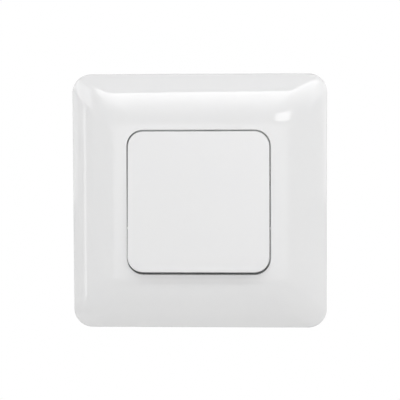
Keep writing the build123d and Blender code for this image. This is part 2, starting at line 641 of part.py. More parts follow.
def clamp_leg(side, clamp_z):
    """Plate along the chamber's outer wall, against which a wire is pressed."""
    z = (clamp_z - CLAMP_SPRING_HALF_HEIGHT, clamp_z + CLAMP_SPRING_HALF_HEIGHT)
    leg = block((side * CLAMP_LEG_X, side * CHAMBER_WALL_X), (STRIP_FRONT, CLAMP_LEG_BACK), z)
    foot_x = (side * (PARTITION_X + STRIP_INTO_CHAMBER), side * CHAMBER_WALL_X)
    return leg + block(foot_x, (STRIP_FRONT, STRIP_BACK), z)


def switched_terminal(side):
    """Strip from a fixed contact in the middle chamber to its clamp in the right chamber."""
    z = side * CONTACT_Z
    half = STRIP_WIDTH / 2
    body = block((-half, PARTITION_X + STRIP_INTO_CHAMBER), (STRIP_FRONT, STRIP_BACK), (z - half, z + half))
    body += clamp_leg(1, side * CLAMP_Z)
    return body - rod_y(0, z, CONTACT_SHANK_RADIUS, STRIP_FRONT - CUT, STRIP_BACK + CUT)


def common_terminal():
    """Strip from the saddle, on which the bridge rocks, to the clamp in the left chamber."""
    half = STRIP_WIDTH / 2
    ear_outer = BRIDGE_WIDTH / 2 + EAR_THICKNESS
    post = BRIDGE_WIDTH / 2 - SADDLE_POST_GAP
    bar = ear_outer + SADDLE_POST_GAP
    body = block((-PARTITION_X - STRIP_INTO_CHAMBER, post), (STRIP_FRONT, STRIP_BACK), (-half, half))
    post_z = (-SADDLE_POST_THICKNESS / 2, SADDLE_POST_THICKNESS / 2)
    body += block((-post, post), (SADDLE_Y, STRIP_FRONT), post_z)
    body += rod_x(SADDLE_Y, 0, SADDLE_RADIUS, -bar, bar)
    return body + clamp_leg(-1, 0.0)


# Clamp springs and release levers

def blade_y(x):
    """Depth of the clamp spring's blade at a distance from the switch's middle."""
    root_y = FLOOR_FRONT - CLAMP_BEND_INSET
    tip_x, tip_y = CLAMP_LEG_X - PIN_CLEARANCE, STRIP_BACK + BLADE_TIP_GAP
    return root_y + (x - BLADE_ROOT_X) * (tip_y - root_y) / (tip_x - BLADE_ROOT_X)


def clamp_spring(side, clamp_z):
    """Bent spring strip: back leg on the partition, a round bend and a slanting blade."""
    leg_x = PARTITION_X + PIN_CLEARANCE + CLAMP_SPRING_THICKNESS / 2
    tip_x = CLAMP_LEG_X - PIN_CLEARANCE - CLAMP_SPRING_THICKNESS / 2
    root_y = blade_y(BLADE_ROOT_X)
    leg = Line((leg_x, STRIP_BACK + BACK_LEG_GAP), (leg_x, root_y))
    blade = Line((BLADE_ROOT_X, root_y), (tip_x, blade_y(tip_x)))
    bend_radius = (BLADE_ROOT_X - leg_x) / 2
    bend = ThreePointArc(leg @ 1, (leg_x + bend_radius, root_y + bend_radius), blade @ 0)
    profile = Sketch()
    for line in (leg, bend, blade):
        profile += trace(line, CLAMP_SPRING_THICKNESS)
    for joint in (leg @ 1, blade @ 0):
        profile += Pos(joint.X, joint.Y) * Circle(CLAMP_SPRING_THICKNESS / 2)
    half = CLAMP_SPRING_HALF_HEIGHT - PART_CLEARANCE
    body = along_z(profile, clamp_z - half, clamp_z + half)
    return body if side > 0 else mirror(body, Plane.YZ)


def release_lever(side, clamp_z):
    """Push piece at the back that opens a clamp; its foot follows the blade's slant."""
    flange_back = FLOOR_FRONT - PIN_CLEARANCE
    half = LEVER_HEIGHT / 2
    foot = [
        (LEVER_X_FROM, blade_y(LEVER_X_FROM) + CLAMP_SPRING_THICKNESS),
        (LEVER_X_TO, blade_y(LEVER_X_TO) + CLAMP_SPRING_THICKNESS),
        (LEVER_X_TO, HOUSING_BACK + LEVER_PROUD),
        (LEVER_X_FROM, HOUSING_BACK + LEVER_PROUD),
    ]
    body = along_z(outline(foot), clamp_z - half, clamp_z + half)
    flange_y = (flange_back - LEVER_FLANGE_LENGTH, flange_back)
    flange_z = (clamp_z - half - LEVER_FLANGE, clamp_z + half + LEVER_FLANGE)
    body += block((LEVER_X_FROM, LEVER_X_TO), flange_y, flange_z)
    return body if side > 0 else mirror(body, Plane.YZ)


# Claws, for the right side; the left ones are the same pieces turned half round

def claw_screw():
    """Pan-head screw with a cross recess, bearing on the front of the support ring."""
    head_back = -RING_THICKNESS
    head_front = head_back - SCREW_HEAD_HEIGHT
    head = rod_y(CLAW_SCREW_X, CLAW_SCREW_Z, SCREW_HEAD_RADIUS, head_back, head_front)
    head = fillet(edges_at(head, head_front), SCREW_HEAD_EDGE)
    for size_x, size_z in ((CROSS_LENGTH, CROSS_WIDTH), (CROSS_WIDTH, CROSS_LENGTH)):
        x = (CLAW_SCREW_X - size_x / 2, CLAW_SCREW_X + size_x / 2)
        z = (CLAW_SCREW_Z - size_z / 2, CLAW_SCREW_Z + size_z / 2)
        head -= block(x, (head_front - CUT, head_front + CROSS_DEPTH), z)
    return head + rod_y(CLAW_SCREW_X, CLAW_SCREW_Z, CLAW_SCREW_RADIUS, head_back, CLAW_SCREW_END)


def claw_nut():
    """Square nut that the ramp ribs keep from turning."""
    front = CLAW_BACK + PIN_CLEARANCE
    back = front + NUT_THICKNESS
    bore_radius = CLAW_SCREW_RADIUS + PIN_CLEARANCE
    body = along_y(Pos(CLAW_SCREW_X, CLAW_SCREW_Z) * Rectangle(NUT_SIZE, NUT_SIZE), front, back)
    return body - rod_y(CLAW_SCREW_X, CLAW_SCREW_Z, bore_radius, front - CUT, back + CUT)


def claw():
    """Toothed fork around the screw: its inner edge slides on the housing's ramps."""
    outward = CLAW_TRAVEL * math.tan(math.radians(CLAW_ANGLE))
    pitch = 2 * CLAW_HALF_HEIGHT / CLAW_TEETH
    points = [(CLAW_INNER_X, CLAW_SCREW_Z - CLAW_HALF_HEIGHT)]
    for tooth in range(CLAW_TEETH):
        z = CLAW_SCREW_Z - CLAW_HALF_HEIGHT + tooth * pitch
        points += [(CLAW_OUTER_X - CLAW_TOOTH, z), (CLAW_OUTER_X, z + pitch / 2)]
    points += [
        (CLAW_OUTER_X - CLAW_TOOTH, CLAW_SCREW_Z + CLAW_HALF_HEIGHT),
        (CLAW_INNER_X, CLAW_SCREW_Z + CLAW_HALF_HEIGHT),
    ]
    body = along_y(outline(points), CLAW_BACK - CLAW_THICKNESS, CLAW_BACK)
    slot_half = CLAW_SCREW_RADIUS + PART_CLEARANCE
    through = (CLAW_BACK - CLAW_THICKNESS - CUT, CLAW_BACK + CUT)
    slot_z = (CLAW_SCREW_Z - slot_half, CLAW_SCREW_Z + slot_half)
    body -= block((CLAW_INNER_X - CUT, CLAW_SCREW_X), through, slot_z)
    body -= rod_y(CLAW_SCREW_X, CLAW_SCREW_Z, slot_half, *through)
    ramp = [
        (CLAW_INNER_X - outward, CLAW_BACK + CUT),
        (ramp_x(CLAW_BACK + CUT, PIN_CLEARANCE), CLAW_BACK + CUT),
        (ramp_x(RAMP_FRONT, PIN_CLEARANCE), RAMP_FRONT),
        (CLAW_INNER_X - outward, RAMP_FRONT),
    ]
    z = (CLAW_SCREW_Z - CLAW_HALF_HEIGHT - CUT, CLAW_SCREW_Z + CLAW_HALF_HEIGHT + CUT)
    return body - along_z(outline(ramp), *z)


# All pieces by name

pieces = {
    "cover_frame": cover_frame(),
    "rocker": rocker(),
    "rocker_carrier": rocker_carrier(),
    "toggle_plunger": toggle_plunger(),
    "toggle_spring": toggle_spring(),
    "support_ring": support_ring(),
    "housing_cover": housing_cover(),
    "housing_base": housing_base(),
    "contact_bridge": contact_bridge(),
    "moving_contact_upper": moving_contact(1),
    "moving_contact_lower": moving_contact(-1),
    "fixed_contact_upper": fixed_contact(1),
    "fixed_contact_lower": fixed_contact(-1),
    "common_terminal": common_terminal(),
    "upper_terminal": switched_terminal(1),
    "lower_terminal": switched_terminal(-1),
    "claw_screw_right": claw_screw(),
    "claw_screw_left": turned(claw_screw()),
    "claw_nut_right": claw_nut(),
    "claw_nut_left": turned(claw_nut()),
    "claw_right": claw(),
    "claw_left": turned(claw()),
}
for clamp_name, clamp_place in CLAMPS.items():
    pieces[f"clamp_spring_{clamp_name}"] = clamp_spring(*clamp_place)
    pieces[f"release_lever_{clamp_name}"] = release_lever(*clamp_place)

os.makedirs("parts", exist_ok=True)
for name, piece in pieces.items():
    export_step(piece, f"parts/{name}.step")
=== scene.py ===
"""Looks of a flush-mounted rocker light switch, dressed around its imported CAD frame.

Lengths are written in millimetres and turned to metres where a mesh is made. X runs to the right, Z up and Y
into the wall, whose surface is y = 0. The rocker rests with its top edge pressed in.
"""

import logging
import math
from dataclasses import dataclass, field
from enum import Enum
from typing import Callable, Sequence

import bmesh
import bpy
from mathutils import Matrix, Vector


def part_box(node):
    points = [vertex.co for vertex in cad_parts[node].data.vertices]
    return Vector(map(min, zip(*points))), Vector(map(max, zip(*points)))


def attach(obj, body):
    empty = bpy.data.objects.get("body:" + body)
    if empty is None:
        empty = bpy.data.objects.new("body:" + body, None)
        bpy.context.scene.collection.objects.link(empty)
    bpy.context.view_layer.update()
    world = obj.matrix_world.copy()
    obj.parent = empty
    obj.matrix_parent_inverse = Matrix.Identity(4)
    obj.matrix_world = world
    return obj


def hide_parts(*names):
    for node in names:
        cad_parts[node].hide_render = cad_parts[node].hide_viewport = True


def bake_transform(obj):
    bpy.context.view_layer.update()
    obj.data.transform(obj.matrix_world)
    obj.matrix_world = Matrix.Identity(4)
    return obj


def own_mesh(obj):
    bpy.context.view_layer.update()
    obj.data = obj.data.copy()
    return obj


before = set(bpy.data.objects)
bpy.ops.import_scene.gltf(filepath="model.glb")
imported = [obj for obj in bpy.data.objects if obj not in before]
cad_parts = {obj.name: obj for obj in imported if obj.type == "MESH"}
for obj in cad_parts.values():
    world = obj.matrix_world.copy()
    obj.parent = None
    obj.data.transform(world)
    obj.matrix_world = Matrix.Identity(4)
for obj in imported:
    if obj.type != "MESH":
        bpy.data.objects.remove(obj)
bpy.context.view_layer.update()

MM = 0.001
LOG = logging.getLogger("light_switch")

# The rocker's axis, its tilt at rest in degrees, the cover frame's front and the wall's surface
PIVOT_Y = -6.8
TILT = 4.5
RIM_Y = -9.6
WALL_Y = 0.0

# In metres: points this near are merged, a cut takes no point along that is further off, places are equal
MERGE = 1e-6
CUT_SNAP = 1e-7
SAME_PLACE = 1e-7
# In millimetres: an edge this near to a plane lies on it, and sizes are equal
NEAR_MM = 0.01
SAME_MM = 1e-7
# Part of a unit normal above which a face looks along a direction
FACING = 0.9
# Degrees: edges sharper than this stay sharp to the eye, and the ones that are softened
SMOOTH_ANGLE = 32.0
SHARP_ANGLE = 50.0

# The two ends of the contact bridge
ENDS = ("upper", "lower")

# Numbers of the colour Mix node's sockets, whose names are shared with its other data types
MIX_A, MIX_B, MIX_RESULT = 6, 7, 2
# The span in which nearly all values of a noise texture lie
NOISE_LOW, NOISE_HIGH = 0.3, 0.7

Piece = bpy.types.Object
Tree = bpy.types.NodeTree
Socket = bpy.types.NodeSocket
Part = bmesh.types.BMEdge | bmesh.types.BMFace
Place = tuple[float, float, float]
Settings = dict[str | int, object]
Links = dict[str | int, Socket]
Pattern = tuple[Socket, Socket, list[tuple[Socket, float]]]


class Axis(Enum):
    """The three directions of the shared frame."""

    X = (1.0, 0.0, 0.0)
    Y = (0.0, 1.0, 0.0)
    Z = (0.0, 0.0, 1.0)


class Element(Enum):
    """The kinds of mesh element that edit mode picks."""

    POINT = "VERT"
    EDGE = "EDGE"
    FACE = "FACE"


class Keep(Enum):
    """What stays of a piece that is cut by a plane."""

    BOTH = "both"
    BELOW = "below"
    ABOVE = "above"


class Boolean(Enum):
    """The ways in which two solids are combined."""

    UNION = "UNION"
    DIFFERENCE = "DIFFERENCE"
    INTERSECT = "INTERSECT"


# Small tools for materials and directions


def linear(hex_colour: str) -> tuple[float, float, float, float]:
    """Turns an sRGB hex colour to the linear values that the shader works in.

    Args:
        hex_colour: a colour such as "#F2F2F0".

    Returns:
        Red, green, blue and an alpha of one.
    """
    values = [int(hex_colour[i : i + 2], 16) / 255 for i in (1, 3, 5)]
    red, green, blue = (v / 12.92 if v <= 0.04045 else ((v + 0.055) / 1.055) ** 2.4 for v in values)
    return red, green, blue, 1.0


def per_metre(size_mm: float) -> float:
    """Scale of a pattern whose features are size_mm across, on Object coordinates in metres."""
    return 1.0 / (size_mm * MM)


def direction(azimuth: float, elevation: float) -> Vector:
    """Unit vector towards an azimuth right of straight in front and an elevation, both in degrees."""
    a, e = math.radians(azimuth), math.radians(elevation)
    return Vector((math.sin(a) * math.cos(e), -math.cos(a) * math.cos(e), math.sin(e)))


def add_node(
    tree: Tree, kind: str, settings: Settings | None = None, links: Links | None = None
) -> bpy.types.Node:
    """Adds a shader node with its settings and incoming links.

    Args:
        tree: the node tree of a material, a lamp or the world.
        kind: the node's type name.
        settings: values by the name or number of an input socket, or else by the name of a property.
        links: outgoing sockets of other nodes by the name or number of the input that they feed.

    Returns:
        The new node.
    """
    node = tree.nodes.new(kind)
    for name, value in (settings or {}).items():
        if isinstance(name, int) or name in node.inputs:
            node.inputs[name].default_value = value
        else:
            setattr(node, name, value)
    for name, socket in (links or {}).items():
        tree.links.new(socket, node.inputs[name])
    return node


# Finishes


@dataclass(frozen=True)
class Relief:
    """A pattern of a surface: how far its features lie apart and how deep they go, in millimetres."""

    size: float
    depth: float


@dataclass(frozen=True)
class Finish:
    """What every finish has: a colour and a close tint in soft patches, and a roughness with its spread."""

    name: str
    colour: str
    tint: str
    roughness: float
    spread: float

    def material(self) -> bpy.types.Material:
        """Builds the node material.

        Returns:
            The material, which reads Object coordinates.
        """
        material = bpy.data.materials.new(self.name)
        material.use_nodes = True
        tree = material.node_tree
        tree.nodes.clear()
        place = {"Vector": add_node(tree, "ShaderNodeTexCoord").outputs["Object"]}
        patches, grain, heights = self.pattern(tree, place)
        tints = {"data_type": "RGBA", MIX_A: linear(self.colour), MIX_B: linear(self.tint)}
        colour = add_node(tree, "ShaderNodeMix", tints, {"Factor": patches})
        settings, links = self.body(), {"Base Color": colour.outputs[MIX_RESULT]}
        if self.spread:
            span = {"From Min": NOISE_LOW, "From Max": NOISE_HIGH}
            span |= {"To Min": self.roughness - self.spread, "To Max": self.roughness + self.spread}
            rough = add_node(tree, "ShaderNodeMapRange", span, {"Value": grain})
            links["Roughness"] = rough.outputs["Result"]
        else:
            settings["Roughness"] = self.roughness
        normal: Links = {}
        for height, depth in heights:
            bump = {"Strength": 1.0, "Distance": depth * MM}
            node = add_node(tree, "ShaderNodeBump", bump, {"Height": height} | normal)
            normal = {"Normal": node.outputs["Normal"]}
        shader = add_node(tree, "ShaderNodeBsdfPrincipled", settings, links | normal)
        add_node(tree, "ShaderNodeOutputMaterial", links={"Surface": shader.outputs["BSDF"]})
        return material

    def body(self) -> Settings:
        """The shader's constants that make the material's body; a plain one has none."""
        return {}

    def pattern(self, tree: Tree, place: Links) -> Pattern:
        """Adds the textures: what mixes the tints, what varies the roughness, and heights with depths."""
        raise NotImplementedError


@dataclass(frozen=True)
class MouldedPlastic(Finish):
    """An injection-moulded thermoplastic: its gloss, its slow waviness and the grain of the mould's steel."""

    ior: float
    wave: Relief
    grain: Relief
    mottle_size: float = 9.0

    def body(self) -> Settings:
        """The plastic's refraction."""
        return {"IOR": self.ior}

    def pattern(self, tree: Tree, place: Links) -> Pattern:
        """Adds the mottle of the colour, the grain and the waviness.

        Args:
            tree: the material's node tree.
            place: the link to the coordinates.

        Returns:
            The mottle, the grain, and the heights of waviness and grain.
        """
        sizes = ((self.mottle_size, 3.0), (self.grain.size, 2.0), (self.wave.size, 1.0))
        looks = ({"Scale": per_metre(size), "Detail": detail} for size, detail in sizes)
        mottle, grain, wave = (
            add_node(tree, "ShaderNodeTexNoise", look, place).outputs["Fac"] for look in looks
        )
        return mottle, grain, [(wave, self.wave.depth), (grain, self.grain.depth)]


@dataclass(frozen=True)
class WorkedMetal(Finish):
    """A bright metal whose rolling, drawing or turning marks run along one axis."""

    marks: Axis
    mark: Relief
    mark_length: float
    cloud_size: float = 4.0

    def body(self) -> Settings:
        """The metal's conductivity, with Blender's own refraction."""
        return {"Metallic": 1.0}

    def pattern(self, tree: Tree, place: Links) -> Pattern:
        """Adds the clouds of the colour and the marks, drawn out along their axis.

        Args:
            tree: the material's node tree.
            place: the link to the coordinates.

        Returns:
            The clouds, the marks, and the marks' height.
        """
        squeeze = [1.0 if part == 0.0 else self.mark.size / self.mark_length for part in self.marks.value]
        drawn = add_node(tree, "ShaderNodeMapping", {"Scale": squeeze}, place).outputs["Vector"]
        lines = {"Scale": per_metre(self.mark.size), "Detail": 3.0, "Roughness": 0.6}
        marks = add_node(tree, "ShaderNodeTexNoise", lines, {"Vector": drawn}).outputs["Fac"]
        soft = {"Scale": per_metre(self.cloud_size), "Detail": 2.0}
        clouds = add_node(tree, "ShaderNodeTexNoise", soft, place).outputs["Fac"]
        return clouds, marks, [(marks, self.mark.depth)]


@dataclass(frozen=True)
class Paper(Finish):
    """A matt pale paper with faint fibres."""

    fibre_size: float

    def pattern(self, tree: Tree, place: Links) -> Pattern:
        """Adds the fibres.

        Args:
            tree: the material's node tree.
            place: the link to the coordinates.

        Returns:
            The fibres twice, and no relief.
        """
        soft = {"Scale": per_metre(self.fibre_size), "Detail": 2.0}
        fibre = add_node(tree, "ShaderNodeTexNoise", soft, place).outputs["Fac"]
        return fibre, fibre, []


# Glossy moulded polycarbonate: a clean, slightly wavy shine with sharp window reflections
GLOSSY_WHITE_PC = MouldedPlastic(
    "glossy_moulded_polycarbonate", "#E8E8E8", "#E6E6E7",
    roughness=0.05, spread=0.01, ior=1.55, wave=Relief(6.0, 0.003), grain=Relief(0.6, 0.0001),
)
# Satin moulded polycarbonate: the fine spark-eroded grain of the key's face, drawn coarser than it is
SATIN_WHITE_PC = MouldedPlastic(
    "satin_moulded_polycarbonate", "#E9E9E9", "#E8E8E9",
    roughness=0.42, spread=0.04, ior=1.55, wave=Relief(12.0, 0.003), grain=Relief(0.35, 0.003),
)
# Matt moulded polycarbonate of the drive piece: even, light grey and slightly chalky
MATT_GREY_PC = MouldedPlastic(
    "matt_moulded_polycarbonate", "#A9ABAD", "#A1A3A6",
    roughness=0.55, spread=0.05, ior=1.58, wave=Relief(8.0, 0.01), grain=Relief(0.3, 0.006),
)
# Glass-filled polyamide of the housing: dull, off-white, with a faint mottling from the fibres
GLASS_FILLED_PA = MouldedPlastic(
    "glass_filled_polyamide", "#DEDDD8", "#D3D2CC",
    roughness=0.6, spread=0.08, ior=1.53, wave=Relief(5.0, 0.01), grain=Relief(0.25, 0.01),
)
# Its cover, in a colder grey of the same kind
COVER_GREY_PA = MouldedPlastic(
    "grey_moulded_polyamide", "#CBCDCE", "#C2C4C6",
    roughness=0.55, spread=0.06, ior=1.53, wave=Relief(5.0, 0.01), grain=Relief(0.25, 0.008),
)
# Natural acetal of the plunger: milky, waxy and smooth
NATURAL_ACETAL = MouldedPlastic(
    "natural_acetal", "#E6E2D6", "#DED9CB",
    roughness=0.3, spread=0.03, ior=1.48, wave=Relief(5.0, 0.003), grain=Relief(0.3, 0.001),
)
# Orange moulded polyamide of the push pieces: satin, with slightly darker flow marks
ORANGE_PA = MouldedPlastic(
    "orange_moulded_polyamide", "#E3701F", "#D4621A",
    roughness=0.36, spread=0.04, ior=1.53, wave=Relief(4.0, 0.004), grain=Relief(0.3, 0.002),
)
# Zinc-plated sheet steel: bluish bright, with faint rolling marks and passivation clouds
ZINC_SHEET = WorkedMetal(
    "zinc_plated_sheet_steel", "#C9CCD1", "#BFC0BC",
    roughness=0.3, spread=0.07, marks=Axis.X, mark=Relief(0.12, 0.0006), mark_length=6.0,
)
# Zinc-plated cold-headed steel of screws and claws: a little duller, with drawing marks along the axis
ZINC_SCREW = WorkedMetal(
    "zinc_plated_screw_steel", "#C6C9CE", "#BDBBB2",
    roughness=0.27, spread=0.06, marks=Axis.Y, mark=Relief(0.1, 0.0006), mark_length=2.0,
)
# Bright spring steel: smooth drawn wire and hard rolled strip; its darker warm tint, in soft clouds, is a
# painted reflection of the housing
SPRING_STEEL = WorkedMetal(
    "bright_spring_steel", "#BDBCB8", "#B2AEA6",
    roughness=0.22, spread=0.05, marks=Axis.Z, mark=Relief(0.08, 0.0004), mark_length=3.0,
)
# Cold-rolled copper alloy strip: warm, with a thin uneven oxide film
COPPER_STRIP = WorkedMetal(
    "rolled_copper_alloy", "#C98A63", "#B57650",
    roughness=0.28, spread=0.08, marks=Axis.X, mark=Relief(0.12, 0.0006), mark_length=5.0, cloud_size=3.0,
)
# Silver alloy rivet: pale and softly matt from cold forming
SILVER_RIVET = WorkedMetal(
    "formed_silver_alloy", "#E2E0DB", "#D5D1C8",
    roughness=0.3, spread=0.06, marks=Axis.Y, mark=Relief(0.15, 0.0005), mark_length=0.6, cloud_size=1.5,
)
# Sawn and tumbled brass of the square nuts: yellow, with rounded scratches
NUT_BRASS = WorkedMetal(
    "tumbled_brass", "#C9A45A", "#B98F45",
    roughness=0.3, spread=0.07, marks=Axis.Z, mark=Relief(0.15, 0.0008), mark_length=2.5, cloud_size=3.0,
)
# Pale uncoated paper under the object: nearly white, so that it gives the shapes a soft light from below
PALE_PAPER = Paper("pale_paper_floor", "#F1F1F0", "#EEEEED", roughness=0.9, spread=0.0, fibre_size=2.0)


# Modelling tools: each works on the active mesh with the operators of object or edit mode


def clear_selection() -> None:
    """Deselects every object, because loading the frame leaves the CAD nodes selected."""
    if bpy.context.object and bpy.context.object.mode != "OBJECT":
        bpy.ops.object.mode_set(mode="OBJECT")
    bpy.ops.object.select_all(action="DESELECT")


def activate(piece: Piece) -> None:
    """Makes a piece the active object and the only selected one.

    Args:
        piece: the object that the next operators work on.
    """
    clear_selection()
    piece.select_set(True)
    bpy.context.view_layer.objects.active = piece


def metres(*values: float) -> Vector:
    """A point given in millimetres, in metres."""
    return Vector(values) * MM


def start_edit(piece: Piece, element: Element = Element.POINT) -> None:
    """Makes a piece the only selected one and opens it in edit mode, with all of it selected.

    Args:
        piece: the mesh object to edit.
        element: the kind of element that is picked.
    """
    activate(piece)
    bpy.ops.object.mode_set(mode="EDIT")
    bpy.ops.mesh.select_mode(type=element.value)
    bpy.ops.mesh.select_all(action="SELECT")


def end_edit() -> None:
    """Leaves edit mode."""
    bpy.ops.object.mode_set(mode="OBJECT")


def face_outward() -> None:
    """Turns the normals of all of the piece in edit mode outward."""
    bpy.ops.mesh.select_all(action="SELECT")
    bpy.ops.mesh.normals_make_consistent(inside=False)


def pick(piece: Piece, element: Element, wanted: Callable[[Part], bool]) -> None:
    """Selects the edges or faces of the piece in edit mode that answer to a test, and no others.

    Args:
        piece: the mesh object that is open in edit mode.
        element: EDGE or FACE.
        wanted: says for an edge or a face whether it is picked, by its place or normal.
    """
    bpy.ops.mesh.select_mode(type=element.value)
    mesh = bmesh.from_edit_mesh(piece.data)
    for part in mesh.edges if element is Element.EDGE else mesh.faces:
        part.select_set(wanted(part))
    mesh.select_flush_mode()
    bmesh.update_edit_mesh(piece.data)


def cut_across(axis: Axis, place: Vector, keep: Keep = Keep.BOTH) -> None:
    """Cuts all of the piece in edit mode by a plane.

    Args:
        axis: the direction across the plane.
        place: a point of the plane, in metres.
        keep: what stays. Where one side goes, the cut is closed with a face.
    """
    bpy.ops.mesh.select_all(action="SELECT")
    bpy.ops.mesh.bisect(
        plane_co=place,
        plane_no=axis.value,
        use_fill=keep is not Keep.BOTH,
        clear_outer=keep is Keep.BELOW,
        clear_inner=keep is Keep.ABOVE,
        threshold=CUT_SNAP,
    )


def settle(piece: Piece) -> None:
    """Applies a piece's place, turn and size to its mesh, so that its object sits at the origin."""
    activate(piece)
    bpy.ops.object.transform_apply(location=True, rotation=True, scale=True)


def apply_modifiers(piece: Piece) -> None:
    """Applies all modifiers of a piece in their order.

    Args:
        piece: the object, which has a mesh of its own.
    """
    activate(piece)
    for modifier in list(piece.modifiers):
        bpy.ops.object.modifier_apply(modifier=modifier.name)


def shade(piece: Piece, angle_deg: float = SMOOTH_ANGLE) -> None:
    """Shades a piece smooth, except across edges sharper than an angle."""
    activate(piece)
    bpy.ops.object.shade_smooth_by_angle(angle=math.radians(angle_deg))


def coat(piece: Piece, finish: Finish) -> None:
    """Gives a new piece one finish all over."""
    piece.data.materials.clear()
    piece.data.materials.append(finish.material())


def combine(base: Piece, tools: Sequence[Piece], operation: Boolean) -> None:
    """Joins solids to a piece, or cuts them out of it, and removes them.

    Args:
        base: the piece that stays.
        tools: closed meshes that are used up.
        operation: how they are combined.
    """
    for tool in tools:
        boolean = base.modifiers.new("combine", "BOOLEAN")
        boolean.operation = operation.value
        boolean.solver = "EXACT"
        boolean.object = tool
        apply_modifiers(base)
        bpy.data.objects.remove(tool, do_unlink=True)


def bevelled_block(name: str, low: Place, high: Place, edge: float, segments: int = 2) -> Piece:
    """A moulded block: a cube set to its size, with all its edges bevelled.

    Args:
        name: the piece's name.
        low: lowest corner in millimetres.
        high: highest corner in millimetres.
        edge: radius of the edges in millimetres.
        segments: steps of each rounded edge.

    Returns:
        The block, with its place in its mesh.
    """
    clear_selection()
    centre = [(a + b) / 2 * MM for a, b in zip(low, high)]
    size = [abs(b - a) * MM for a, b in zip(low, high)]
    bpy.ops.mesh.primitive_cube_add(size=1.0, location=centre)
    piece = bpy.context.object
    piece.name = name
    piece.scale = size
    settle(piece)
    start_edit(piece, Element.EDGE)
    bpy.ops.mesh.bevel(offset=edge * MM, segments=segments, affect="EDGES")
    end_edit()
    return piece


def turned_copy(piece: Piece, name: str, flip_x: int, flip_z: int) -> Piece:
    """Copies a piece with its own mesh, mirrored across one axis or turned half round Y.

    Args:
        piece: the piece to copy.
        name: the copy's name.
        flip_x: -1 where right and left change sides, or else 1.
        flip_z: -1 where top and bottom change sides, or else 1.

    Returns:
        The copy in its place.
    """
    twin = piece.copy()
    twin.data = piece.data.copy()
    twin.name = name
    bpy.context.collection.objects.link(twin)
    twin.scale = (flip_x, 1, flip_z)
    settle(twin)
    if flip_x * flip_z < 0:
        start_edit(twin, Element.FACE)
        face_outward()
        end_edit()
    return twin


def at_four_corners(piece: Piece) -> list[Piece]:
    """A piece in the upper right quarter, together with its copies in the other three."""
    return [piece] + [turned_copy(piece, piece.name, *flips) for flips in ((-1, 1), (1, -1), (-1, -1))]


@dataclass(frozen=True)
class SnapLeg:
    """A snap leg of a moulding: a block with a barb drawn out of one side and tapered towards its end."""

    name: str
    low: Place
    high: Place
    cuts: tuple[tuple[Axis, float], ...]
    barb_side: Place
    barb_low: Place
    barb_high: Place
    barb_reach: float
    taper: Place
    taper_centre: Place
    edge: float = 0.12

    def build(self) -> Piece:
        """Models the leg in the upper right quarter.

        Returns:
            The leg as a closed mesh that reaches into the moulding.
        """
        leg = bevelled_block(self.name, self.low, self.high, self.edge)
        start_edit(leg, Element.FACE)
        for axis, place in self.cuts:
            cut_across(axis, Vector(axis.value) * place * MM)
        pick(leg, Element.FACE, self._is_barb)
        shift = tuple(part * self.barb_reach * MM for part in self.barb_side)
        bpy.ops.mesh.extrude_region_move(TRANSFORM_OT_translate={"value": shift})
        bpy.ops.transform.resize(value=self.taper, center_override=metres(*self.taper_centre))
        end_edit()
        return leg

    def _is_barb(self, face: bmesh.types.BMFace) -> bool:
        """Says whether a face of the block is the root of the barb.

        Args:
            face: a face of the cut block.

        Returns:
            True where its normal and its middle are those of the root.
        """
        middle = face.calc_center_median() / MM
        inside = all(a < part < b for a, part, b in zip(self.barb_low, middle, self.barb_high))
        return inside and face.normal.dot(self.barb_side) > FACING


@dataclass(frozen=True)
class Loop:
    """One ring of a moulded shell: a rounded rectangle across the Y axis, in millimetres."""

    width: float
    height: float
    corner: float
    y: float

    def grown(self, extra: float, y: float) -> "Loop":
        """The same ring at another depth, wider by extra on every side."""
        return Loop(self.width + 2 * extra, self.height + 2 * extra, self.corner + extra, y)


